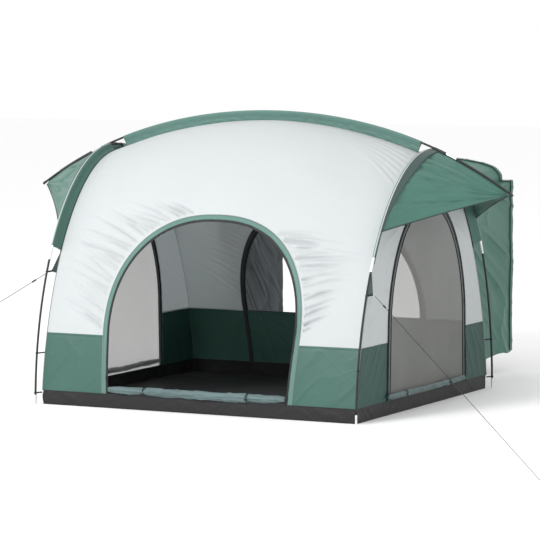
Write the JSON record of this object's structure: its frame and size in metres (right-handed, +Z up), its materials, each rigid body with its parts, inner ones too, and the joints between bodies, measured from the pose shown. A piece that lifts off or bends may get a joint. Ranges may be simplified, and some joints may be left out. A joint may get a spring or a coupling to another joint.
{
  "type": "screen house",
  "caption": "Near-square screen house with crossed poles, side awnings, arched doors and an open sleeve that closes round a vehicle's tail.",
  "frame": {"origin": "centre of the floor's underside, on the ground", "axes": "+Z up; the front door faces -Y and the vehicle sleeve runs out to +Y; +X is to the right of the front door seen from inside looking back to the sleeve"},
  "size_m": [6.1583, 5.6553, 2.187],
  "materials": {
    "tub": "coated woven floor cloth",
    "white_cloth": "light woven polyester",
    "green_cloth": "woven polyester, slight sheen",
    "trim_cloth": "woven polyester",
    "fin_cloth": "woven polyester",
    "dark_trim": "binding tape",
    "zip": "coil zip tape",
    "mesh": "fine insect mesh",
    "flap": "rolled mesh and cloth",
    "webbing": "webbing",
    "pole": "wrapped fibreglass",
    "ferrule": "plated steel",
    "plastic": "moulded",
    "cord": "braided cord",
    "slider": "painted zinc"
  },
  "bodies": {
    "shelter": {"floor_tub": "tub", "front_wall_upper": "white_cloth", "front_wall_lower_left": "green_cloth", "front_wall_lower_right": "green_cloth", "front_door_trim": "trim_cloth", "front_zip_track": "zip", "front_door_roll": "flap", "back_wall_upper": "white_cloth", "back_wall_lower": "green_cloth", "back_door_panel": "green_cloth", "back_door_trim": "dark_trim", "back_zip_track": "zip", "left_wall_upper": "white_cloth", "left_wall_lower": "green_cloth", "left_door_mesh": "mesh", "left_door_trim": "dark_trim", "left_door_roll": "flap", "right_wall_upper": "white_cloth", "right_wall_lower": "green_cloth", "right_door_mesh": "mesh", "right_door_trim": "dark_trim", "right_door_roll": "flap", "roll_ties": "webbing", "ridge_fin": "trim_cloth", "left_front_fin": "fin_cloth", "left_back_fin": "fin_cloth", "right_front_fin": "fin_cloth", "right_back_fin": "fin_cloth", "left_awning": "green_cloth", "right_awning": "green_cloth", "awning_pole_sleeves": "dark_trim", "vehicle_sleeve": "green_cloth", "sleeve_hem": "fin_cloth", "left_front_leg": "pole", "left_back_leg": "pole", "left_arch_pole": "pole", "right_front_leg": "pole", "right_back_leg": "pole", "right_arch_pole": "pole", "ridge_pole": "pole", "ridge_ends": "pole", "pole_ferrules": "ferrule", "foot_tips": "ferrule", "ridge_caps": "plastic", "crossing_ties": "webbing", "pole_clips": "webbing", "corner_straps": "webbing", "guy_patches": "fin_cloth", "left_guy_line": "cord", "right_guy_line": "cord", "guy_loops": "cord"},
    "front_zip_slider_body": {"front_zip_slider": "slider"},
    "front_zip_pull_body": {"front_zip_pull": "slider"},
    "left_zip_slider_body": {"left_zip_slider": "slider"},
    "left_zip_pull_body": {"left_zip_pull": "slider"},
    "right_zip_slider_body": {"right_zip_slider": "slider"},
    "right_zip_pull_body": {"right_zip_pull": "slider"},
    "left_tensioner": {"left_guy_tensioner": "plastic"},
    "right_tensioner": {"right_guy_tensioner": "plastic"}
  },
  "joints": [
    {"name": "front_zip_slide", "type": "slide", "parent": "shelter", "child": "front_zip_slider_body", "axis": [-0.0599, 0.1389, 0.9885], "range_m": [-0.05, 0.12]},
    {"name": "front_pull_swing", "type": "hinge", "parent": "front_zip_slider_body", "child": "front_zip_pull_body", "pos_m": [-0.75315, -1.1951, 0.23121], "axis": [-0.9982, 0, -0.0605], "range_deg": [0, 100]},
    {"name": "left_zip_slide", "type": "slide", "parent": "shelter", "child": "left_zip_slider_body", "axis": [0, 0.0303, 0.9995], "range_m": [-0.3, 0.05]},
    {"name": "left_pull_swing", "type": "hinge", "parent": "left_zip_slider_body", "child": "left_zip_pull_body", "pos_m": [-1.3087, -0.75588, 0.505], "axis": [0, 0.9995, -0.0303], "range_deg": [0, 100]},
    {"name": "right_zip_slide", "type": "slide", "parent": "shelter", "child": "right_zip_slider_body", "axis": [0, -0.0303, 0.9995], "range_m": [-0.3, 0.05]},
    {"name": "right_pull_swing", "type": "hinge", "parent": "right_zip_slider_body", "child": "right_zip_pull_body", "pos_m": [1.3087, 0.75588, 0.505], "axis": [0, -0.9995, -0.0303], "range_deg": [0, 100]},
    {"name": "left_tensioner_slide", "type": "slide", "parent": "shelter", "child": "left_tensioner", "axis": [-0.5891, -0.6393, -0.4942], "range_m": [-0.06, 0.5]},
    {"name": "right_tensioner_slide", "type": "slide", "parent": "shelter", "child": "right_tensioner", "axis": [0.6705, -0.6876, -0.2786], "range_m": [-0.06, 0.5]}
  ]
}
